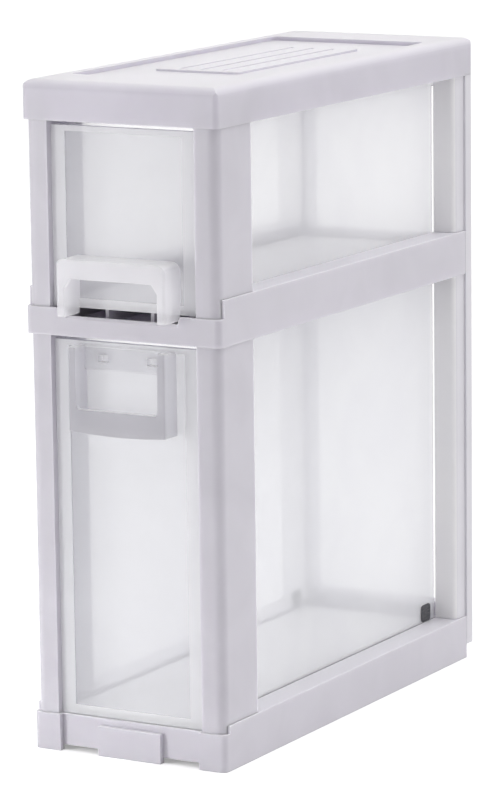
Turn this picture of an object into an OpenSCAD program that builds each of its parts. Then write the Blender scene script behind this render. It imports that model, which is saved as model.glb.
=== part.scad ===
// Narrow two-drawer cabinet in translucent plastic, a shallow drawer over a deep one.
// Millimetres. Z is up, the drawer fronts face -Y, the floor is z = 0.
// Local y runs from the front plane of the base towards the back of the cabinet.

/* [Cabinet] */
// Overall width over the base and the top cover
cabinet_w = 120; // [100:1:200]
// Overall depth from the base front to the back frame, without the pulls
cabinet_d = 298; // [230:1:420]
// Open height of the lower bay, base to middle shelf
lower_bay_h = 204; // [120:1:300]
// Open height of the upper bay, middle shelf to top cover
upper_bay_h = 90; // [70:1:200]

/* [Base, shelf and cover] */
// Height of the base at its sides
base_h = 25; // [22:1:40]
// Height of the base at its front, under the lower drawer
base_front_h = 20.5; // [18:0.5:22]
// Height of the middle shelf at its sides
shelf_h = 25; // [20:1:40]
// Height of the middle shelf's front lip
shelf_lip_h = 15; // [12:0.5:18]
// Depth of the finger dip in the front lip
lip_dip = 4; // [1:0.5:4]
// Height of the top cover
cover_h = 21.5; // [18:1:30]
// Moulded wall thickness of base, shelf and cover
wall = 2.4; // [1.8:0.1:3]
// Front vertical corner radius of base, shelf and cover
corner_r = 3.6; // [2.5:0.1:6]
// Edge rounding of the top cover
cover_round = 6; // [3:0.5:8]

/* [Posts and back frame] */
// Width of a post seen from the front
post_w = 13.8; // [11:0.1:18]
// Depth of a front post
front_post_d = 36.3; // [25:1:60]
// Depth of a rear post
rear_post_d = 12; // [8:0.2:20]
// Set-back of the posts behind the base and shelf faces
post_set = 1.2; // [0.5:0.1:2.5]
// Outer front corner radius of the rear posts
rear_post_r = 3; // [1:0.5:6]
// Wall of the hollow posts
post_wall = 2; // [1.5:0.1:3]
// Outer corner radius of the front posts
post_r = 6; // [3:0.5:8]
// Thickness of the back frame
back_t = 11; // [8:0.5:20]
// Vertical corner radius of the back frame
back_r = 5; // [2:0.5:8]
// Clearance of the back frame above the floor
back_lift = 8; // [6:1:20]

/* [Drawers] */
// Side gap between a drawer front and the posts
drawer_side_gap = 0.6; // [0.4:0.1:1.5]
// Running gap between a drawer and the ribs under it
running_gap = 0.3; // [0.3:0.05:0.8]
// Gap over a drawer front
drawer_top_gap = 2.5; // [0.8:0.1:4]
// Set-back of the drawer fronts behind the base front
drawer_set = 4.7; // [4:0.1:8]
// Wall of the drawer tubs
tub_wall = 2; // [1.6:0.1:3]
// Gap between a drawer's back and the back frame
drawer_back_gap = 8; // [6:0.1:30]
// How far each drawer slides out before its stop
drawer_travel = 190; // [120:1:280]
// Height the tub sides stay below the drawer front
tub_drop = 1; // [0:0.5:30]
// Width of the raised border down each side of a drawer front
front_border_w = 8.5; // [3:0.5:12]

/* [Pulls] */
// Width of the upper pull
upper_pull_w = 67; // [50:0.2:90]
// Height of the upper pull
upper_pull_h = 31.3; // [26:0.5:45]
// How far the upper pull stands out in front of the base
upper_pull_out = 11; // [8:0.5:18]
// Height of the upper pull's finger bar
upper_bar_h = 10.5; // [8:0.2:16]
// Width of the lower pull
lower_pull_w = 60.5; // [45:0.2:90]
// Height of the lower pull
lower_pull_h = 46.5; // [40:0.5:70]
// How far the lower pull stands out in front of the base
lower_pull_out = 6.5; // [5:0.5:10]
// Height of the lower pull's finger bar
lower_bar_h = 13.3; // [8:0.2:18]

/* [Hidden] */
$fn = 64;
eps = 0.01;

// heights
lower_post_z = base_h;
shelf_z = base_h + lower_bay_h;
shelf_lip_z = shelf_z + shelf_lip_h;
upper_post_z = shelf_z + shelf_h;
cover_z = upper_post_z + upper_bay_h;
total_h = cover_z + cover_h;

// plan
half_w = cabinet_w / 2;
inner_w = half_w - post_set - post_w;
frame_d = cabinet_d - back_t;
front_y = -(cabinet_d + upper_pull_out) / 2 + upper_pull_out;
step_y = 5;
rear_post_y = frame_d - rear_post_d;
post_end_y = post_set + front_post_d;
seat_t = wall;

// decks, ribs and stops
rib_t = 2;
rib_inset = 7;
rib_side_x = inner_w - rib_inset;
rib_mid_x = 14;
rib_y0 = 9;
deck_drop = 6.5;
base_deck_z = base_front_h - deck_drop;
deck_rise = 5;
shelf_deck_z = shelf_z + deck_rise;
deck_t = wall;
stop_t = 3;
stop_gap = 0.5;
stop_half_w = 34;
spigot_h = 8;
spigot_fit = 0.15;
spigot_l = 20;
hook_w = 12;
hook_h = 4;
hook_x = 26;
hook_fit = 0.2;
hook_depth = 5.6;
hook_lift = 1;
slot_bridge = 1.6;
shelf_back_h = 19;
base_back_h = base_deck_z + deck_t + hook_lift + hook_h + slot_bridge;
window_r = 6;
window_inset = 1;
sill_h = 6;
head_h = 4;
cover_head_h = 5;

// drawers
front_half_w = inner_w - drawer_side_gap;
tub_half_w = front_half_w - 1;
front_t = 2.4;
border_t = 0.8;
border_top_h = 3;
border_bottom_h = 5;
tub_r = 3;
tub_bottom_r = 4;
floor_t = 2.2;
rim_t = 2;
drawer_end_y = frame_d - drawer_back_gap;
lower_drawer_z = base_front_h + running_gap;
lower_front_top = shelf_z - drawer_top_gap;
upper_drawer_z = shelf_lip_z + running_gap;
upper_front_top = cover_z - drawer_top_gap;
tab_w = 12;
tab_x = 24;
tab_t = 3;
tab_y = drawer_end_y - tab_t;
stop_y = tab_y - drawer_travel - stop_gap - stop_t;
pad_l = 10.5;
pad_h = 10;
pad_z = lower_drawer_z + tub_bottom_r;
pad_t = 2;
pad_proud = 0.9;
pad_r = 2;
pad_end = 8.5;

// pulls
pull_wall = 5;
pull_skin = 2.6;
pull_r = 5;
pull_edge_r = 1.8;
pull_chamfer = 5;
web_t = 2;
web_h = 13;
lug_w = 6;
lug_h = 4;
lug_fit = 0.15;
lug_l = front_t + 2;
upper_pull_z = shelf_lip_z - lip_dip + 1.2;
lower_pull_top = lower_front_top - 2;
dip_gap = 0.8;

// cover top
rim_side = 11;
rim_front = 32;
rim_rear = 41;
recess = 2.4;
plateau_w = 52;
plateau_front = 82;
plateau_rear = 77;
plateau_h = 1.2;
groove_w = 3;

// feet
foot_w = 16.5;
centre_foot_w = 39;
foot_relief = 3;
rail_set = 3;
tab_drop = 4;

// stiffening ribs under the deck of the base
brace_h = 6;
brace_count = 5;
brace_pitch = (frame_d - 2 * wall) / (brace_count + 1);

// ---------------------------------------------------------------- helpers

// Places local coordinates (y from the base front) in the shared frame
module local() {
    translate([0, front_y, 0]) children();
}

// Both sides of the cabinet at once
module both() {
    children();
    mirror([1, 0, 0]) children();
}

// Box between two corners
module box(x0, x1, y0, y1, z0, z1) {
    translate([x0, y0, z0]) cube([x1 - x0, y1 - y0, z1 - z0]);
}

// Flat outline across the cabinet, front corners of radius rf, rear corners of radius rr
module plan(hw, y0, y1, rf, rr) {
    translate([-hw + rf, y0]) square([2 * hw - 2 * rf, rf + eps]);
    translate([-hw, y0 + rf]) square([2 * hw, y1 - y0 - rf - rr]);
    translate([-hw + rr, y1 - rr - eps]) square([2 * hw - 2 * rr, rr + eps]);
    translate([-hw + rf, y0 + rf]) circle(rf);
    translate([hw - rf, y0 + rf]) circle(rf);
    translate([-hw + rr, y1 - rr]) circle(rr);
    translate([hw - rr, y1 - rr]) circle(rr);
}

// Flat outline seen along y or x: width range a0..a1, height b0..b1, only two corners rounded
module rounded_side(a0, a1, b0, b1, r, top) {
    flat_y = top ? b0 : b0 + r;
    strip_y = top ? b1 - r - eps : b0;
    round_y = top ? b1 - r : b0 + r;
    translate([a0, flat_y]) square([a1 - a0, b1 - b0 - r]);
    translate([a0 + r, strip_y]) square([a1 - a0 - 2 * r, r + eps]);
    translate([a0 + r, round_y]) circle(r);
    translate([a1 - r, round_y]) circle(r);
}

// Extrudes a flat (x, z) outline along y
module along_y(y0, y1) {
    translate([0, y1, 0]) rotate([90, 0, 0]) linear_extrude(y1 - y0) children();
}

// Extrudes a flat (y, z) outline along x
module along_x(x0, x1) {
    translate([x0, 0, 0]) rotate([90, 0, 90]) linear_extrude(x1 - x0) children();
}

// ------------------------------------------------- base, shelf and cover

// Hollow side channel that carries the posts: outer skirt is drawn by the caller
module side_channel(y0, y1, z_deck, z_top) {
    box(inner_w, inner_w + wall, y0, y1, z_deck, z_top);
    box(inner_w, half_w - wall / 2, y0, y1, z_top - seat_t, z_top);
    box(inner_w, half_w - wall / 2, y0, y0 + wall, z_deck, z_top);
}

// Lengthwise ribs the drawer runs on, tied into the deck below them
module ribs(z0, z1, y1) {
    for (x = [-rib_side_x, -rib_mid_x, rib_mid_x, rib_side_x]) {
        box(x - rib_t / 2, x + rib_t / 2, rib_y0, y1, z0, z1);
    }
}

// Spigot that plugs into the hollow of a post
module spigot(y0, y1, z0, z1) {
    x0 = inner_w + post_wall + spigot_fit;
    x1 = inner_w + post_w - post_wall - spigot_fit;
    box(x0, x1, y0, y1, z0, z1);
}

module front_spigot(z0, z1) {
    mid = post_set + front_post_d / 2;
    spigot(mid - spigot_l / 2, mid + spigot_l / 2, z0, z1);
}

module rear_spigot(z0, z1) {
    y0 = rear_post_y + post_wall + spigot_fit;
    spigot(y0, frame_d - post_wall - spigot_fit, z0, z1);
}

// Slots in a rear wall for the hooks of the back frame
module hook_slots(z) {
    for (x = [-hook_x, hook_x]) {
        box(x - hook_w / 2 - hook_fit, x + hook_w / 2 + hook_fit,
            frame_d - wall - 1, frame_d + 1, z - hook_fit, z + hook_h + hook_fit);
    }
}

// Skirt ring of base or shelf: low at the front, full height behind the step
module skirt(z0, z_front, z_top, z_back) {
    difference() {
        translate([0, 0, z0]) linear_extrude(z_top - z0) plan(half_w, 0, frame_d, corner_r, 0.6);
        box(-half_w + wall, half_w - wall, wall, frame_d - wall, z0 - 1, z_top + 1);
        box(-half_w - 1, half_w + 1, -1, step_y, z_front, z_top + 1);
        box(-inner_w, inner_w, frame_d - wall - 1, frame_d + 1, z_back, z_top + 1);
    }
}

module base() {
    foot_x = half_w - foot_w;
    tab_x1 = centre_foot_w / 2;
    tab_top_z = base_front_h - tab_drop;
    color("gainsboro") local() difference() {
        union() {
            skirt(0, base_front_h, base_h, base_back_h);
            both() side_channel(step_y, frame_d - wall / 2, base_deck_z, base_h);
            both() box(foot_x, half_w - wall / 2, wall / 2, step_y + wall / 2,
                base_front_h - seat_t, base_front_h);
            box(-inner_w - wall / 2, inner_w + wall / 2, rail_set + wall / 2,
                frame_d - wall / 2, base_deck_z, base_deck_z + deck_t);
            // front rail set back behind the feet, with the feet's and the tab's side walls
            box(-foot_x - wall, foot_x + wall, rail_set, rail_set + wall, foot_relief,
                base_front_h);
            both() box(foot_x, foot_x + wall, wall / 2, rail_set + wall / 2, 0, base_front_h);
            both() box(tab_x1 - wall, tab_x1, wall / 2, rail_set + wall / 2, 0, tab_top_z);
            box(-tab_x1, tab_x1, wall / 2, rail_set + wall / 2, tab_top_z - wall, tab_top_z);
            // cross ribs under the deck
            for (i = [1:brace_count]) {
                box(-inner_w - wall / 2, inner_w + wall / 2,
                    wall + i * brace_pitch - rib_t / 2, wall + i * brace_pitch + rib_t / 2,
                    base_deck_z - brace_h, base_deck_z + deck_t / 2);
            }
            ribs(base_deck_z + deck_t / 2, base_front_h, frame_d - wall / 2);
            both() front_spigot(base_h - seat_t / 2, base_h + spigot_h);
            both() rear_spigot(base_h - seat_t / 2, base_h + spigot_h);
        }
        // front wall open between the corner feet and the centre tab, and over the tab
        both() box(tab_x1, foot_x, -1, rail_set, -1, base_front_h + 1);
        box(-tab_x1 - eps, tab_x1 + eps, -1, rail_set, tab_top_z, base_front_h + 1);
        // rear wall lifted off the floor between the feet
        both() box(tab_x1, foot_x, frame_d - wall - 1, frame_d + 1, -1, foot_relief);
        hook_slots(base_deck_z + deck_t + hook_lift);
    }
}

module middle_shelf() {
    dip_half = upper_pull_w / 2 + dip_gap + lip_dip / 2;
    z_up = upper_post_z - seat_t / 2;
    color("gainsboro") local() difference() {
        union() {
            skirt(shelf_z, shelf_lip_z, upper_post_z, shelf_z + shelf_back_h);
            both() side_channel(step_y, frame_d - wall / 2, shelf_deck_z, upper_post_z);
            both() box(inner_w, half_w - wall / 2, wall / 2, step_y + wall / 2,
                shelf_lip_z - seat_t, shelf_lip_z);
            // seats over the lower posts
            both() box(inner_w, half_w - wall / 2, wall / 2, post_end_y + 1,
                shelf_z, shelf_z + seat_t);
            both() box(inner_w, half_w - wall / 2, rear_post_y - 1, frame_d - wall / 2,
                shelf_z, shelf_z + seat_t);
            both() box(inner_w, inner_w + wall, wall / 2, post_end_y + 1,
                shelf_z, shelf_deck_z + deck_t);
            both() box(inner_w, inner_w + wall, rear_post_y - 1, frame_d - wall / 2,
                shelf_z, shelf_deck_z + deck_t);
            box(-inner_w - wall / 2, inner_w + wall / 2, wall / 2, frame_d - wall / 2,
                shelf_deck_z, shelf_deck_z + deck_t);
            ribs(shelf_deck_z + deck_t / 2, shelf_lip_z, frame_d - wall / 2);
            both() front_spigot(z_up, upper_post_z + spigot_h);
            both() rear_spigot(z_up, upper_post_z + spigot_h);
            both() front_spigot(shelf_z - spigot_h, shelf_z + seat_t / 2);
            both() rear_spigot(shelf_z - spigot_h, shelf_z + seat_t / 2);
            // stop for the lower drawer, under the deck
            box(-stop_half_w, stop_half_w, stop_y, stop_y + stop_t,
                shelf_z + 0.5, shelf_deck_z + deck_t / 2);
        }
        // finger dip with sloping ends in the front lip
        along_y(-1, step_y) polygon([
            [-dip_half + lip_dip / 2, shelf_lip_z - lip_dip],
            [dip_half - lip_dip / 2, shelf_lip_z - lip_dip],
            [dip_half, shelf_lip_z + 1],
            [-dip_half, shelf_lip_z + 1]]);
        // bevel along the dip's front edge
        along_x(-dip_half + lip_dip / 2, dip_half - lip_dip / 2) polygon([
            [-1, shelf_lip_z - lip_dip - 2.4],
            [0.0, shelf_lip_z - lip_dip - 1.6],
            [1.2, shelf_lip_z - lip_dip],
            [1.2, shelf_lip_z - lip_dip + 1],
            [-1, shelf_lip_z - lip_dip + 1]]);
        hook_slots(shelf_deck_z + deck_t + 2 * hook_lift);
    }
}

// Outer form of the cover with all top edges rounded
module cover_form(inset) {
    r = cover_round - inset / 2;
    intersection() {
        translate([0, 0, cover_z - 1]) linear_extrude(cover_h + 1)
            plan(half_w - inset, inset, cabinet_d - inset, corner_r - inset / 2, back_r - inset);
        along_y(-1, cabinet_d + 1)
            rounded_side(-half_w + inset, half_w - inset, cover_z - 1, total_h - inset, r, true);
        along_x(-half_w - 1, half_w + 1)
            rounded_side(inset, cabinet_d - inset, cover_z - 1, total_h - inset, r, true);
    }
}

module top_cover() {
    recess_hw = half_w - rim_side;
    recess_z = total_h - recess;
    plateau_y1 = cabinet_d - plateau_rear;
    color("whitesmoke") local() difference() {
        union() {
            difference() {
                cover_form(0);
                box(-half_w - 1, half_w + 1, -1, cabinet_d + 1, cover_z - 2, cover_z);
                intersection() {
                    cover_form(wall);
                    box(-half_w, half_w, 0, cabinet_d, cover_z - 1, total_h - wall - recess);
                }
            }
            // walls that guide the drawer, and seats over the upper posts
            both() box(inner_w, inner_w + wall, wall / 2, frame_d, cover_z,
                total_h - recess - wall / 2);
            both() box(inner_w, half_w - wall / 2, wall / 2, post_end_y + 1,
                cover_z, cover_z + seat_t);
            both() box(inner_w, half_w - wall / 2, rear_post_y - 1, frame_d,
                cover_z, cover_z + seat_t);
            both() front_spigot(cover_z - spigot_h, cover_z + seat_t / 2);
            both() rear_spigot(cover_z - spigot_h, cover_z + seat_t / 2);
            // stop for the upper drawer
            box(-inner_w - wall / 2, inner_w + wall / 2, stop_y, stop_y + stop_t,
                cover_z + 0.5, total_h - recess - wall / 2);
        }
        // stacking recess round a raised plateau
        difference() {
            translate([0, 0, recess_z]) linear_extrude(recess + 1)
                plan(recess_hw, rim_front, cabinet_d - rim_rear, 4, 4);
            translate([0, 0, recess_z - 1]) linear_extrude(plateau_h + 1)
                plan(plateau_w / 2, plateau_front, plateau_y1, 3, 3);
        }
        // flutes along the plateau
        for (x = [-plateau_w / 4, 0, plateau_w / 4]) {
            box(x - groove_w / 2, x + groove_w / 2, plateau_front + 6, plateau_y1 - 6,
                recess_z + plateau_h - 0.6, recess_z + plateau_h + 1);
        }
    }
}

// --------------------------------------------------- posts and back frame

// Section of a front post, outer front corner rounded
module front_post_section(inset) {
    x0 = inner_w + inset;
    x1 = inner_w + post_w - inset;
    y0 = post_set + inset;
    y1 = post_end_y - inset;
    r = post_r - inset;
    translate([x0, y0]) square([x1 - x0 - r, y1 - y0]);
    translate([x0, y0 + r]) square([x1 - x0, y1 - y0 - r]);
    translate([x1 - r, y0 + r]) circle(r);
}

// Hollow front post; its front edge reaches down to the low front of the piece below
module front_post(z0, z_front, z1) {
    color("lightgray") local() difference() {
        translate([0, 0, z_front]) linear_extrude(z1 - z_front) front_post_section(0);
        box(inner_w - 1, half_w + 1, step_y, post_end_y + 1, z_front - 1, z0);
        translate([0, 0, z_front - 1]) linear_extrude(z1 - z_front + 2)
            front_post_section(post_wall);
    }
}

// Hollow rear post, outer front corner rounded
module rear_post(z0, z1) {
    x1 = inner_w + post_w;
    r = rear_post_r;
    color("lightgray") local() difference() {
        translate([0, 0, z0]) linear_extrude(z1 - z0) union() {
            translate([inner_w, rear_post_y]) square([post_w - r, rear_post_d]);
            translate([inner_w, rear_post_y + r]) square([post_w, rear_post_d - r]);
            translate([x1 - r, rear_post_y + r]) circle(r);
        }
        box(inner_w + post_wall, inner_w + post_w - post_wall,
            rear_post_y + post_wall, frame_d - post_wall, z0 - 1, z1 + 1);
    }
}

module lower_front_right_post() {
    front_post(lower_post_z, base_front_h, shelf_z);
}

module lower_front_left_post() {
    mirror([1, 0, 0]) lower_front_right_post();
}

module lower_rear_right_post() {
    rear_post(lower_post_z, shelf_z);
}

module lower_rear_left_post() {
    mirror([1, 0, 0]) lower_rear_right_post();
}

module upper_front_right_post() {
    front_post(upper_post_z, shelf_lip_z, cover_z);
}

module upper_front_left_post() {
    mirror([1, 0, 0]) upper_front_right_post();
}

module upper_rear_right_post() {
    rear_post(upper_post_z, cover_z);
}

module upper_rear_left_post() {
    mirror([1, 0, 0]) upper_rear_right_post();
}

// Window through the back frame, all four corners rounded
module back_window(hw, z0, z1) {
    r = window_r;
    along_y(frame_d - 1, cabinet_d + 1) union() {
        translate([-hw + r, z0]) square([2 * hw - 2 * r, z1 - z0]);
        translate([-hw, z0 + r]) square([2 * hw, z1 - z0 - 2 * r]);
        for (x = [-hw + r, hw - r]) {
            for (z = [z0 + r, z1 - r]) {
                translate([x, z]) circle(r);
            }
        }
    }
}

// Full-height back frame with one window per bay, hooked into base and shelf
module back_frame() {
    win = inner_w - window_inset;
    sill_z = base_h + sill_h;
    head_z = shelf_z - head_h;
    shelf_sill_z = upper_post_z - head_h;
    cover_head_z = cover_z - cover_head_h;
    low_hook_z = base_deck_z + deck_t + hook_lift;
    high_hook_z = shelf_deck_z + deck_t + 2 * hook_lift;
    color("lightgray") local() union() {
        difference() {
            translate([0, 0, back_lift]) linear_extrude(cover_z - back_lift)
                plan(half_w, frame_d - 2 * back_r, cabinet_d, 0.6, back_r);
            box(-half_w - 1, half_w + 1, frame_d - 3 * back_r, frame_d,
                back_lift - 1, cover_z + 1);
            // hollow behind the outer skin
            both() box(win + wall, half_w - wall - 1, frame_d - 1, cabinet_d - wall - 2,
                back_lift + wall, cover_z - wall);
            back_window(win, sill_z, head_z);
            back_window(win, shelf_sill_z, cover_head_z);
            box(-win, win, frame_d - 1, cabinet_d - wall, back_lift + wall, sill_z - wall);
            box(-win, win, frame_d - 1, cabinet_d - wall, head_z + wall, shelf_sill_z - wall);
        }
        for (x = [-hook_x, hook_x]) {
            box(x - hook_w / 2, x + hook_w / 2, frame_d - hook_depth, cabinet_d - wall / 2,
                low_hook_z, low_hook_z + hook_h);
            box(x - hook_w / 2, x + hook_w / 2, frame_d - hook_depth, cabinet_d - wall / 2,
                high_hook_z, high_hook_z + hook_h);
        }
    }
}

// ------------------------------------------------------ drawers and pulls

// Solid body of a tub with rounded bottom edges and rear corners
module tub_solid(hw, y0, y1, z0, z1, r, rb) {
    intersection() {
        translate([0, 0, z0]) linear_extrude(z1 - z0) plan(hw, y0, y1, 1, r);
        along_y(y0 - 1, y1 + 1) rounded_side(-hw, hw, z0, z1, rb, false);
    }
}

// Drawer: tub, front panel with a raised border, rim flange, and stop tabs at the back
module drawer(z0, z_top, stop_top, pull_x, pull_z) {
    z_rim = z_top - tub_drop;
    front_back_y = drawer_set + border_t + front_t;
    color("white") local() difference() {
        union() {
            tub_solid(tub_half_w, drawer_set + border_t + front_t / 2, drawer_end_y,
                z0, z_rim, tub_r, tub_bottom_r);
            box(-front_half_w, front_half_w, drawer_set + border_t, front_back_y,
                z0, z_top);
            // raised border on the front panel
            difference() {
                box(-front_half_w, front_half_w, drawer_set,
                    drawer_set + border_t + front_t / 2, z0, z_top);
                box(-front_half_w + front_border_w, front_half_w - front_border_w,
                    drawer_set - 1, drawer_set + border_t,
                    z0 + border_bottom_h, z_top - border_top_h);
            }
            // rim flange
            translate([0, 0, z_rim - rim_t]) linear_extrude(rim_t)
                plan(front_half_w, front_back_y - 1, drawer_end_y + 1, 0.5, tub_r);
            // top return behind the front panel
            box(-front_half_w, front_half_w, drawer_set + border_t, front_back_y + 3,
                z_top - rim_t, z_top);
            // stop tabs
            for (x = [-tab_x, tab_x]) {
                box(x - tab_w / 2, x + tab_w / 2, tab_y, drawer_end_y, z_rim - 12, stop_top);
            }
        }
        tub_solid(tub_half_w - tub_wall, front_back_y, drawer_end_y - tub_wall,
            z0 + floor_t, z_rim - rim_t - 0.5, tub_r - tub_wall, tub_bottom_r - tub_wall);
        box(-tub_half_w + tub_wall, tub_half_w - tub_wall, front_back_y, drawer_end_y - tab_t,
            z_rim - rim_t - 1, z_rim + 1);
        // holes for the lugs of the pull
        for (x = [-pull_x, pull_x]) {
            box(x - lug_w / 2 - lug_fit, x + lug_w / 2 + lug_fit, drawer_set - 1,
                front_back_y + 1, pull_z - lug_fit, pull_z + lug_h + lug_fit);
        }
    }
}

module upper_drawer() {
    drawer(upper_drawer_z, upper_front_top, cover_z + 3.5, upper_pull_w / 4,
        upper_pull_z + upper_pull_h - 9);
}

// Pocket and bead position of the glide pads
module pad_shape(x0, x1, grow) {
    y1 = drawer_end_y - pad_end + grow;
    y0 = drawer_end_y - pad_end - pad_l - grow;
    translate([x0, 0, 0]) rotate([90, 0, 90]) linear_extrude(x1 - x0)
        translate([(y0 + y1) / 2, pad_z + pad_h / 2]) union() {
            square([y1 - y0 - 2 * pad_r, pad_h + 2 * grow], center = true);
            square([y1 - y0, pad_h + 2 * grow - 2 * pad_r], center = true);
            for (a = [-1, 1]) {
                for (b = [-1, 1]) {
                    translate([a * ((y1 - y0) / 2 - pad_r), b * (pad_h / 2 + grow - pad_r)])
                        circle(pad_r);
                }
            }
        }
}

module lower_drawer() {
    color("white") difference() {
        drawer(lower_drawer_z, lower_front_top, shelf_deck_z - 1.2, lower_pull_w / 4,
            lower_pull_top - 9);
        local() both() pad_shape(tub_half_w - pad_t + pad_proud, tub_half_w + 2, 0.05);
    }
}

module right_glide_pad() {
    color("dimgray") local()
        pad_shape(tub_half_w - pad_t + pad_proud, tub_half_w + pad_proud, 0);
}

module left_glide_pad() {
    mirror([1, 0, 0]) right_glide_pad();
}

// Front view of a pull: outer outline with rounded corners on the bar side
module pull_outline(hw, z0, z1, r, bar_up) {
    rounded_side(-hw, hw, z0, z1, r, bar_up);
}

// Front view of the finger opening: chamfered corners on the bar side
module pull_opening(hw, z_open, z_bar, c) {
    up = z_bar > z_open;
    corner_z = up ? z_bar - c : z_bar + c;
    polygon([[-hw, z_open], [-hw, corner_z], [-hw + c * 0.7, z_bar],
        [hw - c * 0.7, z_bar], [hw, corner_z], [hw, z_open]]);
}

// Upper pull: a hood with its bar along the top, open below
module upper_pull() {
    hw = upper_pull_w / 2;
    z0 = upper_pull_z;
    z1 = upper_pull_z + upper_pull_h;
    y0 = -upper_pull_out;
    y1 = drawer_set + border_t;
    color("lightgray") local() difference() {
        union() {
            intersection() {
                along_y(y0, y1) pull_outline(hw, z0, z1, pull_r, true);
                translate([0, 0, z0 - 1]) linear_extrude(z1 - z0 + 2)
                    plan(hw, y0, y1, pull_edge_r, 0.3);
            }
            for (x = [-hw / 2, hw / 2]) {
                box(x - lug_w / 2, x + lug_w / 2, y1 - 1, y1 + lug_l, z1 - 9, z1 - 9 + lug_h);
            }
        }
        // hand pocket behind the bar
        box(-hw + pull_wall, hw - pull_wall, y0 + 3, y1 - web_t, z0 - 1, z1 - pull_skin);
        // finger opening below the bar
        along_y(y0 - 1, y1 - web_t)
            pull_opening(hw - pull_wall, z0 - 1, z1 - upper_bar_h, pull_chamfer);
        // back web covers only the upper part
        box(-hw + pull_wall, hw - pull_wall, y1 - web_t - 1, y1 + 1, z0 - 1, z1 - web_h);
        // clearance over the front border of the drawer
        box(-hw - 1, hw + 1, drawer_set, y1 + 1, z0 - 1, upper_drawer_z + border_bottom_h + 0.2);
    }
}

// Lower pull: a trough with its bar along the bottom, open above
module lower_pull() {
    hw = lower_pull_w / 2;
    z1 = lower_pull_top;
    z0 = z1 - lower_pull_h;
    y0 = -lower_pull_out;
    y1 = drawer_set + border_t;
    bulge_r = 330;
    color("lightgray") local() difference() {
        union() {
            intersection() {
                along_y(y0, y1) pull_outline(hw, z0, z1, pull_r - 2, false);
                along_y(y0, y1) translate([0, z0 + bulge_r]) circle(bulge_r, $fn = 128);
                translate([0, 0, z0 - 1]) linear_extrude(z1 - z0 + 2)
                    plan(hw, y0, y1, pull_edge_r, 0.3);
            }
            for (x = [-hw / 2, hw / 2]) {
                box(x - lug_w / 2, x + lug_w / 2, y1 - 1, y1 + lug_l, z1 - 9, z1 - 9 + lug_h);
            }
        }
        // hand pocket behind the bar
        box(-hw + pull_wall, hw - pull_wall, y0 + 3, y1 - web_t, z0 + 1.4 + pull_skin, z1 + 1);
        // finger opening above the bar
        along_y(y0 - 1, y1 - web_t)
            pull_opening(hw - pull_wall, z1 + 1, z0 + lower_bar_h, 2);
        // back web covers only the upper part
        box(-hw + pull_wall, hw - pull_wall, y1 - web_t - 1, y1 + 1, z0 + 1.4 + pull_skin,
            z1 - web_h);
        // clearance over the front border of the drawer
        box(-hw - 1, hw + 1, drawer_set, y1 + 1, lower_front_top - border_top_h - 0.2, z1 + 1);
    }
}

base();
middle_shelf();
top_cover();
back_frame();
lower_front_left_post();
lower_front_right_post();
lower_rear_left_post();
lower_rear_right_post();
upper_front_left_post();
upper_front_right_post();
upper_rear_left_post();
upper_rear_right_post();
lower_drawer();
lower_pull();
left_glide_pad();
right_glide_pad();
upper_drawer();
upper_pull();
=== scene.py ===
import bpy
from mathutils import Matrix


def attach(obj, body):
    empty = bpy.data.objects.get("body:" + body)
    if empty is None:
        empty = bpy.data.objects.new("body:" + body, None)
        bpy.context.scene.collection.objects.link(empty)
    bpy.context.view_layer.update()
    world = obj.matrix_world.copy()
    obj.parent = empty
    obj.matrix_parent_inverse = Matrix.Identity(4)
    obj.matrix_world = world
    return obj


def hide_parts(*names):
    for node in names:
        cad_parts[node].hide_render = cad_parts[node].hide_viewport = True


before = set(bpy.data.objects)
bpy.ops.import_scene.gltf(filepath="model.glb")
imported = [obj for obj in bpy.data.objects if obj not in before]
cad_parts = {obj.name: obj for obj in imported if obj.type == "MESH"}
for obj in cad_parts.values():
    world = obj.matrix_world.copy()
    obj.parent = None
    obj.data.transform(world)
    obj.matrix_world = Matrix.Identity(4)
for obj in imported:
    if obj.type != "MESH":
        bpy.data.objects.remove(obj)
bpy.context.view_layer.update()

import bpy
import bmesh
import math
from mathutils import Matrix, Vector

# ------------------------------------------------------------------ base
# The foot of the cabinet: one injection-moulded tray in milky polypropylene,
# with side channels that carry the posts, ribs under the deep drawer, four
# corner feet and a centre tab. Every outer edge leaves the tool slightly broken.

FRAME_EDGE = 0.0007
# points closer than this are one, sides this flat are one, and edges sharper than this are broken
SAME_POINT = 1e-6
FLAT_ANGLE = math.radians(0.8)
SHARP_ANGLE = math.radians(28)
POLYPROPYLENE_IOR = 1.49
SATIN = 0.42


def hex_colour(code):
    """An sRGB hex colour as the linear numbers that the shaders take."""
    channels = [int(code[i:i + 2], 16) / 255 for i in (1, 3, 5)]
    linear = [c / 12.92 if c <= 0.04045 else ((c + 0.055) / 1.055) ** 2.4
              for c in channels]
    return (*linear, 1)


def add_node(material, kind, settings, **links):
    """Adds one node. Settings go to its properties or its input sockets, by name or number;
    links join the outputs of other nodes to its inputs."""
    tree = material.node_tree
    node = tree.nodes.new(kind)
    for name, value in settings.items():
        if hasattr(node, name):
            setattr(node, name, value)
        else:
            node.inputs[int(name) if name.isdigit() else name].default_value = value
    for name, source in links.items():
        socket = node.inputs[int(name[1:]) if name[1:].isdigit() else name.replace("_", " ")]
        tree.links.new(source, socket)
    return node


def two_tones(material, pattern, low_hex, high_hex, low, high):
    """A ramp over a pattern, from one colour at its low values to another at its high ones."""
    shade = add_node(material, "ShaderNodeValToRGB", {}, Fac=pattern.outputs["Fac"])
    for end, position, code in zip(shade.color_ramp.elements, (low, high), (low_hex, high_hex)):
        end.position = position
        end.color = hex_colour(code)
    return shade


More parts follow.
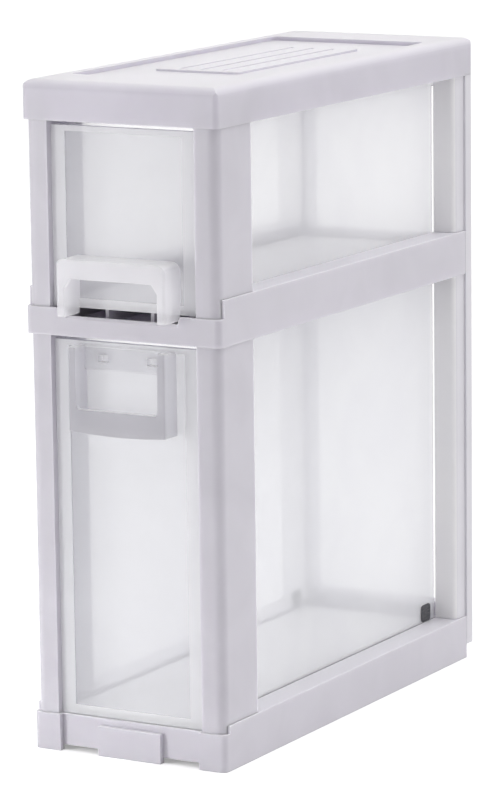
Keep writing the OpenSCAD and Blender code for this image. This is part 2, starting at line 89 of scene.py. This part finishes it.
def emboss(material, pattern, strength, depth):
    """Stands a pattern out of the skin by depth, as the steel of the tool leaves it."""
    relief = add_node(material, "ShaderNodeBump", {"Strength": strength, "Distance": depth},
                      Height=pattern.outputs["Fac"])
    skin = material.node_tree.nodes["Principled BSDF"]
    material.node_tree.links.new(relief.outputs["Normal"], skin.inputs["Normal"])


def shot_in_one(node_name, edge, body, plastic):
    """The moulding as it leaves the tool: the frame's solid, its edges broken by a small
    radius. Flat sides are joined first, so that the radius runs unbroken along them."""
    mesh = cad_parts[node_name].data.copy()
    mesh.materials.clear()
    mesh.materials.append(plastic)
    shell = bmesh.new()
    shell.from_mesh(mesh)
    bmesh.ops.remove_doubles(shell, verts=shell.verts, dist=SAME_POINT)
    bmesh.ops.dissolve_limit(shell, angle_limit=FLAT_ANGLE, verts=shell.verts,
                             edges=shell.edges, delimit=set())
    for face in shell.faces:
        face.smooth = True
    shell.to_mesh(mesh)
    shell.free()
    piece = bpy.data.objects.new(node_name + "_moulding", mesh)
    bpy.context.scene.collection.objects.link(piece)
    rounding = piece.modifiers.new("edge_radius", "BEVEL")
    rounding.width = edge
    rounding.segments = 2
    rounding.limit_method = "ANGLE"
    rounding.angle_limit = SHARP_ANGLE
    flats = piece.modifiers.new("flat_sides", "WEIGHTED_NORMAL")
    flats.keep_sharp = True
    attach(piece, body)
    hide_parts(node_name)
    return piece


def milky_polypropylene(name, body_hex, flow_hex, top_light_hex, rough, glow):
    """Milky polypropylene from a spark-eroded tool: light sinks in a few millimetres and comes
    out soft, so walls look lit from within, under a satin skin with faint flow marks. glow is
    the share of the light that sinks in."""
    plastic = bpy.data.materials.new(name)
    plastic.use_nodes = True
    skin = plastic.node_tree.nodes["Principled BSDF"]
    place = add_node(plastic, "ShaderNodeTexCoord", {})
    # flow marks of the melt, about 45 mm apart and only a shade deep
    flow = add_node(plastic, "ShaderNodeTexNoise", {"Scale": 1 / 0.045, "Detail": 2.0,
                    "Distortion": 0.8}, Vector=place.outputs["Object"])
    shade = two_tones(plastic, flow, flow_hex, body_hex, low=0.30, high=0.62)
    # painted light: what faces up, the top, the rims and the lips, is painted paler, as if lit
    # from above
    facing = add_node(plastic, "ShaderNodeSeparateXYZ", {}, Vector=place.outputs["Normal"])
    painted_top_light = add_node(plastic, "ShaderNodeMapRange", {"From Min": 0.25, "From Max": 0.95},
                       Value=facing.outputs["Z"])
    top_lit_colour = add_node(plastic, "ShaderNodeMix", {"data_type": "RGBA", "7": hex_colour(top_light_hex)},
                     i0=painted_top_light.outputs["Result"], i6=shade.outputs["Color"])
    plastic.node_tree.links.new(top_lit_colour.outputs[2], skin.inputs["Base Color"])
    # the spark grain is 0.1 mm in the steel, drawn at 0.7 mm so that it shows
    grain = add_node(plastic, "ShaderNodeTexNoise", {"Scale": 1 / 0.0007, "Detail": 1.0},
                     Vector=place.outputs["Object"])
    emboss(plastic, grain, strength=0.35, depth=0.00005)
    # hands and dust dull the gloss in patches of 30 mm
    wear = add_node(plastic, "ShaderNodeTexNoise", {"Scale": 1 / 0.03, "Detail": 3.0},
                    Vector=place.outputs["Object"])
    gloss = add_node(plastic, "ShaderNodeMapRange", {"From Min": 0.3, "From Max": 0.7,
                     "To Min": rough - 0.04, "To Max": rough + 0.06},
                     Value=wear.outputs["Fac"])
    plastic.node_tree.links.new(gloss.outputs["Result"], skin.inputs["Roughness"])
    skin.inputs["IOR"].default_value = POLYPROPYLENE_IOR
    skin.inputs["Subsurface Weight"].default_value = glow
    skin.inputs["Subsurface Radius"].default_value = (1.0, 0.96, 1.0)
    skin.inputs["Subsurface Scale"].default_value = 0.003
    return plastic


# the third colour is the painted light on faces that turn up
milky_pp = milky_polypropylene("milky_polypropylene_moulded", "#CFCCD4", "#CAC7CF", "#DDDBE1",
                               rough=SATIN, glow=1.0)
shot_in_one("base", FRAME_EDGE, "cabinet", milky_pp)

# ----------------------------------------------------------- lower posts
# Four hollow posts of the deep bay, moulded in the same milky polypropylene.
# Each is pushed down over a spigot of the base. The rear pair stands against
# the light, and its 2 mm walls let part of it through. It is painted in a paler
# copy of the plastic, a painted light as if lit from behind.


def let_light_through(plastic, share):
    """A thin wall of the milky plastic: a share of the light from behind comes out in front."""
    tree = plastic.node_tree
    skin = tree.nodes["Principled BSDF"]
    colour = skin.inputs["Base Color"].links[0].from_socket
    through = add_node(plastic, "ShaderNodeBsdfTranslucent", {}, Color=colour)
    wall = add_node(plastic, "ShaderNodeMixShader", {"0": share},
                    i1=skin.outputs["BSDF"], i2=through.outputs["BSDF"])
    tree.links.new(wall.outputs["Shader"], tree.nodes["Material Output"].inputs["Surface"])
    return plastic


def coat_faces(piece, plastic, chosen):
    """Gives the faces that chosen picks, by their centre and normal, a plastic of their own."""
    piece.data.materials.append(plastic)
    for face in piece.data.polygons:
        if chosen(face.center, face.normal):
            face.material_index = len(piece.data.materials) - 1


def looks_at_tub(centre, normal):
    """The faces that turn to the front or to the tubs, which are painted paler, as if lit by the
    tubs.
    """
    return normal.y < -0.45 or normal.x * centre.x < -0.02


# painted light: the rear posts and the back frame take a paler copy of the milky plastic
thin_painted_pale_pp = let_light_through(
    milky_polypropylene("milky_polypropylene_thin_wall_painted_pale", "#ECEAF0", "#E8E6EC", "#F0EEF4",
                        rough=SATIN, glow=0.0), share=0.2)
# painted light: a still paler copy for the rear posts' faces that turn to the front or the tubs
painted_lit_pp = let_light_through(
    milky_polypropylene("milky_polypropylene_painted_lit_wall", "#FFFEFF", "#FBFAFC", "#FFFEFF",
                        rough=SATIN, glow=0.0), share=0.2)
for node_name in ("lower_front_left_post", "lower_front_right_post"):
    shot_in_one(node_name, FRAME_EDGE, "cabinet", milky_pp)
for node_name in ("lower_rear_left_post", "lower_rear_right_post"):
    rear_post = shot_in_one(node_name, FRAME_EDGE, "cabinet", thin_painted_pale_pp)
    coat_faces(rear_post, painted_lit_pp, looks_at_tub)

# ---------------------------------------------------------- middle shelf
# The deck between the bays, one moulding with a lip at the front that dips
# for the fingers and a stop bar below. It caps the lower posts and carries
# the upper ones.

shot_in_one("middle_shelf", FRAME_EDGE, "cabinet", milky_pp)

# ----------------------------------------------------------- upper posts
# Four short hollow posts of the shallow bay, pushed over the spigots of the
# shelf, in the same plastic as the lower ones. The cover holds their tops.

for node_name in ("upper_front_left_post", "upper_front_right_post"):
    shot_in_one(node_name, FRAME_EDGE, "cabinet", milky_pp)
for node_name in ("upper_rear_left_post", "upper_rear_right_post"):
    rear_post = shot_in_one(node_name, FRAME_EDGE, "cabinet", thin_painted_pale_pp)
    coat_faces(rear_post, painted_lit_pp, looks_at_tub)

# ------------------------------------------------------------- top cover
# The lid of the cabinet: a shallow moulded cap with rounded corners, a flat
# rim and a recess in which the feet of the next box would stand. It is pressed
# onto the upper posts.

# its third colour is the painted light on faces that turn up
cover_pp = let_light_through(
    milky_polypropylene("milky_polypropylene_cover", "#E1DEE6", "#DCD9E1", "#F5F3F9",
                        rough=0.38, glow=1.0), share=0.25)
shot_in_one("top_cover", FRAME_EDGE, "cabinet", cover_pp)

# ------------------------------------------------------------ back frame
# A flat moulded frame over the whole back with one window for each bay. Its
# hooks drop into slots of the base and the shelf. The wall is thin, so the
# light from behind comes through it. It is painted in the paler copy of the
# plastic, a painted light as if lit from behind.

shot_in_one("back_frame", FRAME_EDGE, "cabinet", thin_painted_pale_pp)

# ---------------------------------------------------------- lower drawer
# The deep tub: unfilled polypropylene shot in one with a raised border on its
# front, a thicker floor and stop tabs at the back. It slides on the ribs of
# the base.

TUB_EDGE = 0.0003
POLISHED = 0.3


def clear_polypropylene(name, body_hex, flow_hex, level_paint_hex, wall, level):
    """Unfilled polypropylene: part of the light goes straight through, the rest is scattered
    forwards and back, so a lit wall glows and a post behind it shows as a soft darker band.
    Level parts are thicker and send more of the light back; they also take a painted tone
    of their own, painted light that makes the tub floors and pull ledges read as lit. wall and
    level each give the share that goes straight through and the share of the rest that is
    scattered forwards."""
    plastic = bpy.data.materials.new(name)
    plastic.use_nodes = True
    skin = plastic.node_tree.nodes["Principled BSDF"]
    place = add_node(plastic, "ShaderNodeTexCoord", {})
    # flow marks of the melt, about 60 mm apart
    flow = add_node(plastic, "ShaderNodeTexNoise", {"Scale": 1 / 0.06, "Detail": 2.0,
                    "Distortion": 0.8}, Vector=place.outputs["Object"])
    shade = two_tones(plastic, flow, flow_hex, body_hex, low=0.30, high=0.62)
    # painted light: faces that lie level take a painted tone of their own, paler on the floors
    facing = add_node(plastic, "ShaderNodeSeparateXYZ", {}, Vector=place.outputs["Normal"])
    flat = add_node(plastic, "ShaderNodeMath", {"operation": "ABSOLUTE"}, i0=facing.outputs["Z"])
    lying = add_node(plastic, "ShaderNodeMapRange", {"From Min": 0.5, "From Max": 0.9},
                     Value=flat.outputs[0])
    level_painted_tint = add_node(plastic, "ShaderNodeMix", {"data_type": "RGBA", "7": hex_colour(level_paint_hex)},
                    i0=lying.outputs["Result"], i6=shade.outputs["Color"])
    plastic.node_tree.links.new(level_painted_tint.outputs[2], skin.inputs["Base Color"])
    # the polished tool leaves a grain finer than 0.1 mm, drawn at 0.8 mm so that it shows
    grain = add_node(plastic, "ShaderNodeTexNoise", {"Scale": 1 / 0.0008, "Detail": 1.0},
                     Vector=place.outputs["Object"])
    emboss(plastic, grain, strength=0.35, depth=0.00004)
    # handling dulls the gloss in soft patches of 60 mm
    wear = add_node(plastic, "ShaderNodeTexNoise", {"Scale": 1 / 0.06, "Detail": 0.0},
                    Vector=place.outputs["Object"])
    gloss = add_node(plastic, "ShaderNodeMapRange", {"From Min": 0.0, "From Max": 1.0,
                     "To Min": POLISHED - 0.04, "To Max": POLISHED + 0.06},
                     Value=wear.outputs["Fac"])
    plastic.node_tree.links.new(gloss.outputs["Result"], skin.inputs["Roughness"])
    skin.inputs["IOR"].default_value = POLYPROPYLENE_IOR
    see_through = add_node(plastic, "ShaderNodeMapRange", {"To Min": wall[0], "To Max": level[0]},
                           Value=lying.outputs["Result"])
    pass_on = add_node(plastic, "ShaderNodeMapRange", {"To Min": wall[1], "To Max": level[1]},
                       Value=lying.outputs["Result"])
    through = add_node(plastic, "ShaderNodeBsdfTranslucent", {}, Color=level_painted_tint.outputs[2])
    cloudy = add_node(plastic, "ShaderNodeMixShader", {}, i0=pass_on.outputs["Result"],
                      i1=skin.outputs["BSDF"], i2=through.outputs["BSDF"])
    open_path = add_node(plastic, "ShaderNodeBsdfTransparent", {})
    whole = add_node(plastic, "ShaderNodeMixShader", {}, i0=see_through.outputs["Result"],
                     i1=cloudy.outputs["Shader"], i2=open_path.outputs["BSDF"])
    plastic.node_tree.links.new(whole.outputs["Shader"],
                                plastic.node_tree.nodes["Material Output"].inputs["Surface"])
    return plastic


# planes in the shared frame that part the front, its border and the two rims from the walls
PANEL_BACK_Y = -0.1350
BORDER_Y = -0.1384
DEEP_RIM_Z = (0.2220, 0.2280)
SHALLOW_RIM_Z = 0.3365


def on_front(centre, normal):
    """Both faces of the 2.4 mm front panel."""
    return abs(normal.y) > 0.9 and centre.y < PANEL_BACK_Y


def on_border(centre, normal):
    """The border, which stands 0.8 mm proud of the front panel."""
    return normal.y < -0.9 and centre.y < BORDER_Y


def on_rim(centre, normal):
    """The level top of the rim, where one looks down into the depth of the wall."""
    rim = DEEP_RIM_Z[0] < centre.z < DEEP_RIM_Z[1] or centre.z > SHALLOW_RIM_Z
    return normal.z > 0.8 and rim


def on_corner(centre, normal):
    """The rounded upright corners, where light runs along the wall and it looks denser."""
    return abs(normal.x) > 0.25 and abs(normal.y) > 0.25


deep_pp = clear_polypropylene("clear_polypropylene_deep_tub", "#F5F5F7", "#F1F1F4", "#FFFFFF",
                              wall=(0.58, 0.60), level=(0.05, 0.05))
border_pp = clear_polypropylene("clear_polypropylene_border", "#F7F7F9", "#F3F3F5", "#FFFFFF",
                                wall=(0.18, 0.45), level=(0.18, 0.45))
front_pp = clear_polypropylene("clear_polypropylene_front_panel", "#F0F0F3", "#ECECEF",
                               "#FFFFFF", wall=(0.58, 0.55), level=(0.58, 0.55))
rim_pp = clear_polypropylene("clear_polypropylene_rim", "#E6E5EA", "#E2E1E6", "#DDDCE2",
                             wall=(0.36, 0.45), level=(0.10, 0.25))
# where a tub is not one plain wall, in the order in which the parts overlap
TUB_PARTS = ((front_pp, on_front), (border_pp, on_border), (rim_pp, on_rim), (rim_pp, on_corner))
deep_tub = shot_in_one("lower_drawer", TUB_EDGE, "lower_drawer_body", deep_pp)
for part_pp, chosen_faces in TUB_PARTS:
    coat_faces(deep_tub, part_pp, chosen_faces)

# ------------------------------------------------------------ lower pull
# A trough pull for the deep tub: two thick legs and a curved bar below a thin
# web, moulded apart and pushed through the front by two lugs. Its plastic is
# painted greyer than the hood's, and the front faces of its thick ribs greyer
# still, a painted shade against the lit wall behind.

PULL_EDGE = 0.0005
# planes that part the front of the ribs and the web from the rest of the pull
RIB_Y = -0.1470
WEB_HALF_W = 0.0253
WEB_Y = (-0.1402, -0.1378)
WEB_Z = (0.2105, 0.2240)
# painted shade: this pull takes a greyer copy of the hood's clear plastic
trough_pp = clear_polypropylene("pull_polypropylene_trough", "#EAE9EE", "#E5E4E9", "#FFFFFF",
                                wall=(0.45, 0.40), level=(0.10, 0.20))
# painted shade: the front faces of the legs and the bar are painted greyer still
rib_painted_shade_pp = clear_polypropylene("pull_polypropylene_rib_painted_shade", "#C2C0C7", "#BDBBC2", "#FFFFFF",
                             wall=(0.28, 0.35), level=(0.28, 0.35))
web_pp = clear_polypropylene("pull_polypropylene_web", "#FFFFFF", "#FAFAFC", "#FFFFFF",
                             wall=(0.95, 0.50), level=(0.80, 0.50))


def on_rib(centre, normal):
    """The front faces of the two legs and the bar, where the plastic is 8 to 12 mm deep; they
    carry the painted shade.
    """
    return normal.y < -0.8 and centre.y < RIB_Y


def on_web(centre, normal):
    """The 2 mm web fills the upper 13 mm between the legs, flush with the back of the pull."""
    return (abs(centre.x) < WEB_HALF_W and WEB_Y[0] < centre.y < WEB_Y[1]
            and WEB_Z[0] < centre.z < WEB_Z[1])


trough = shot_in_one("lower_pull", PULL_EDGE, "lower_drawer_body", trough_pp)
coat_faces(trough, rib_painted_shade_pp, on_rib)
coat_faces(trough, web_pp, on_web)

# ------------------------------------------------------------ glide pads
# A small pad of moulded rubber in each side of the deep tub, low at the back.
# It sits in a pocket and keeps the tub centred; sliding has rubbed it matt.

PAD_EDGE = 0.0003
RUBBER_IOR = 1.52


def matt_rubber(name, body_hex, rubbed_hex, rough):
    """Moulded rubber: dark grey, with no gloss, paler where it has rubbed on the frame."""
    pad = bpy.data.materials.new(name)
    pad.use_nodes = True
    skin = pad.node_tree.nodes["Principled BSDF"]
    place = add_node(pad, "ShaderNodeTexCoord", {})
    # rub marks run along the travel, 0.4 mm apart and 6 mm long
    stretched = add_node(pad, "ShaderNodeMapping",
                         {"Scale": (1 / 0.0004, 1 / 0.006, 1 / 0.0004)},
                         Vector=place.outputs["Object"])
    rubbed = add_node(pad, "ShaderNodeTexNoise", {"Scale": 1.0, "Detail": 3.0},
                      Vector=stretched.outputs["Vector"])
    shade = two_tones(pad, rubbed, body_hex, rubbed_hex, low=0.40, high=0.70)
    pad.node_tree.links.new(shade.outputs["Color"], skin.inputs["Base Color"])
    emboss(pad, rubbed, strength=0.4, depth=0.00005)
    skin.inputs["Roughness"].default_value = rough
    skin.inputs["IOR"].default_value = RUBBER_IOR
    return pad


rubber = matt_rubber("rubber_pad_moulded", "#4A4A4E", "#6A6A6E", rough=0.8)
for node_name in ("left_glide_pad", "right_glide_pad"):
    shot_in_one(node_name, PAD_EDGE, "lower_drawer_body", rubber)

# ---------------------------------------------------------- upper drawer
# The shallow tub, moulded like the deep one. Its plastic is painted paler and
# clearer than the deep tub's, painted light that makes its bay read lighter.
# It slides on the ribs of the shelf.

# painted light: a paler, clearer copy of the deep tub's plastic
shallow_pp = clear_polypropylene("clear_polypropylene_shallow_tub", "#FEFEFF", "#FAFAFC",
                                 "#FFFFFF", wall=(0.62, 0.68), level=(0.05, 0.05))
shallow_tub = shot_in_one("upper_drawer", TUB_EDGE, "upper_drawer_body",
                          shallow_pp)
for part_pp, chosen_faces in TUB_PARTS:
    coat_faces(shallow_tub, part_pp, chosen_faces)

# ------------------------------------------------------------ upper pull
# The hood pull of the shallow tub: a round-edged bar on two legs over the
# finger opening, moulded clear and pushed through the front by two lugs.

hood_pp = clear_polypropylene("pull_polypropylene_hood", "#FAF9FC", "#F5F4F7", "#FFFFFF",
                              wall=(0.45, 0.45), level=(0.30, 0.35))
shot_in_one("upper_pull", PULL_EDGE, "upper_drawer_body", hood_pp)

# ---------------------------------------------------------------- studio
# A seamless white sweep under soft boxes. The floor keeps the cabinet's soft
# shadow; what the camera sees of the backdrop is plain white.

SWEEP_HALF = 6.0
SWEEP_LIFT = 0.30
# the room's light: its dimmest and brightest side, the lit backdrop, and what the flag takes away
ROOM_DIM, ROOM_BRIGHT = 0.05, 1.24
BRIGHT_SIDE = (0.61, 0.69, 0.39)
BACKDROP_LIGHT, BACKDROP_SIDE = 1.1, (-0.49, 0.87, -0.10)
FLAG_SHADE, FLAG_SIDE = -0.40, (0.55, -0.83, -0.05)


def seen_outright(material):
    """1 where the camera sees the surface, also in a reflection or through clear plastic."""
    ray = add_node(material, "ShaderNodeLightPath", {})
    seen = add_node(material, "ShaderNodeMath", {"operation": "ADD", "use_clamp": True},
                    i0=ray.outputs["Is Camera Ray"], i1=ray.outputs["Is Glossy Ray"])
    return add_node(material, "ShaderNodeMath", {"operation": "ADD", "use_clamp": True},
                    i0=seen.outputs[0], i1=ray.outputs["Is Transmission Ray"])


sweep_mesh = bpy.data.meshes.new("sweep")
sweep_mesh.from_pydata([(-SWEEP_HALF, -SWEEP_HALF, 0), (SWEEP_HALF, -SWEEP_HALF, 0),
                        (SWEEP_HALF, SWEEP_HALF, 0), (-SWEEP_HALF, SWEEP_HALF, 0)], [],
                       [(0, 1, 2, 3)])
sweep = bpy.data.objects.new("sweep", sweep_mesh)
bpy.context.scene.collection.objects.link(sweep)
paper = bpy.data.materials.new("white_paper_sweep")
paper.use_nodes = True
paper_surface = paper.node_tree.nodes["Principled BSDF"]
paper_surface.inputs["Base Color"].default_value = hex_colour("#F9F9F9")
paper_surface.inputs["Roughness"].default_value = 0.9
paper_surface.inputs["Emission Color"].default_value = hex_colour("#FFFFFF")
lift = add_node(paper, "ShaderNodeMath", {"operation": "MULTIPLY", "1": SWEEP_LIFT},
                i0=seen_outright(paper).outputs[0])
paper.node_tree.links.new(lift.outputs[0], paper_surface.inputs["Emission Strength"])
sweep.data.materials.append(paper)

world = bpy.data.worlds.new("studio_white")
bpy.context.scene.world = world
world.use_nodes = True
room = world.node_tree.nodes["Background"]
direction = add_node(world, "ShaderNodeTexCoord", {})


def towards(side):
    """How far a direction of the room points to one side, from -1 to 1."""
    return add_node(world, "ShaderNodeVectorMath", {"operation": "DOT_PRODUCT", "1": side},
                    i0=direction.outputs["Generated"])


def add_patch(level, side, sharpness, light):
    """Adds a soft round patch of light, or of shade, at one side of the room."""
    patch = add_node(world, "ShaderNodeMath", {"operation": "MAXIMUM", "1": 0.0},
                     i0=towards(side).outputs["Value"])
    patch = add_node(world, "ShaderNodeMath", {"operation": "POWER", "1": sharpness},
                     i0=patch.outputs[0])
    return add_node(world, "ShaderNodeMath", {"operation": "MULTIPLY_ADD", "1": light},
                    i0=patch.outputs[0], i2=level.outputs[0])


# a bright wall at the right and behind, and a dim corner at the left of the camera
level = add_node(world, "ShaderNodeMapRange", {"From Min": -1.0, "From Max": 1.0,
                 "To Min": ROOM_DIM, "To Max": ROOM_BRIGHT},
                 Value=towards(BRIGHT_SIDE).outputs["Value"])
# the lit backdrop stands straight behind the cabinet
level = add_patch(level, BACKDROP_SIDE, sharpness=5.0, light=BACKDROP_LIGHT)
# a black flag beside the camera keeps the right end of the front a shade darker
level = add_patch(level, FLAG_SIDE, sharpness=2.0, light=FLAG_SHADE)
strength = add_node(world, "ShaderNodeMix", {"data_type": "FLOAT", "3": 1.0},
                    i0=seen_outright(world).outputs[0], i2=level.outputs[0])
world.node_tree.links.new(strength.outputs[0], room.inputs["Strength"])
room.inputs["Color"].default_value = hex_colour("#FFFFFF")


def soft_box(name, place, aim, size, watts, spread=180):
    """A soft box on a stand, out of the camera's view; a grid in front narrows its beam."""
    lamp = bpy.data.lights.new(name, "AREA")
    lamp.shape = "RECTANGLE"
    lamp.size, lamp.size_y = size
    lamp.energy = watts
    lamp.spread = math.radians(spread)
    holder = bpy.data.objects.new(name, lamp)
    holder.location = place
    holder.rotation_euler = (Vector(aim) - Vector(place)).to_track_quat("-Z", "Y").to_euler()
    holder.visible_camera = False
    bpy.context.scene.collection.objects.link(holder)


# one overhead, one at the left for the front, and a narrow beam on the foot of the front
soft_box("top_box", place=(0.3, -0.15, 1.6), aim=(0, 0, 0.3), size=(1.4, 1.4), watts=6)
soft_box("left_box", place=(-0.80, -1.00, 0.26), aim=(0, -0.14, 0.18), size=(0.36, 0.6),
         watts=5.4)
soft_box("grid_box", place=(-0.50, -0.85, 0.30), aim=(-0.03, -0.15, -0.03), size=(0.12, 0.12),
         watts=0.055, spread=26)

# ---------------------------------------------------------------- camera
# A long lens well back from the cabinet, turned 29.5 degrees to its right
# front corner and 10.4 degrees above level, as the photograph was taken.

YAW, PITCH, ROLL = math.radians(29.534), math.radians(10.419), math.radians(-0.730)
# it was fitted in units of 1.2 mm, around a point half as deep as the cabinet and 150 units up
UNIT = 0.0012
HALF_DEPTH, LOOK_AT_HEIGHT = 122.5, 150
DISTANCE, SHIFT_RIGHT, SHIFT_UP = 1952.753, -3.641, -5.907
FRONT_Y = -0.1435
PICTURE_HEIGHT, FOCAL_LENGTH, SENSOR_HEIGHT = 800, 4179.67, 36
forward = Vector((-math.sin(YAW) * math.cos(PITCH), math.cos(YAW) * math.cos(PITCH),
                  -math.sin(PITCH)))
right = Vector((math.cos(YAW), math.sin(YAW), 0))
up = right.cross(forward)
cam_right = math.cos(ROLL) * right + math.sin(ROLL) * up
cam_up = -math.sin(ROLL) * right + math.cos(ROLL) * up
stand = (Vector((0, 0, LOOK_AT_HEIGHT)) - forward * DISTANCE + cam_right * SHIFT_RIGHT
         + cam_up * SHIFT_UP)

lens = bpy.data.cameras.new("camera")
camera = bpy.data.objects.new("camera", lens)
bpy.context.scene.collection.objects.link(camera)
bpy.context.scene.camera = camera
camera.location = Vector((stand.x * UNIT, (stand.y + HALF_DEPTH) * UNIT + FRONT_Y,
                          stand.z * UNIT))
camera.rotation_euler = Matrix((cam_right, cam_up, -forward)).transposed().to_euler()
lens.sensor_fit = "VERTICAL"
lens.sensor_height = SENSOR_HEIGHT
lens.lens = FOCAL_LENGTH * SENSOR_HEIGHT / PICTURE_HEIGHT
lens.clip_end = 100
bpy.context.scene.view_settings.view_transform = "Standard"
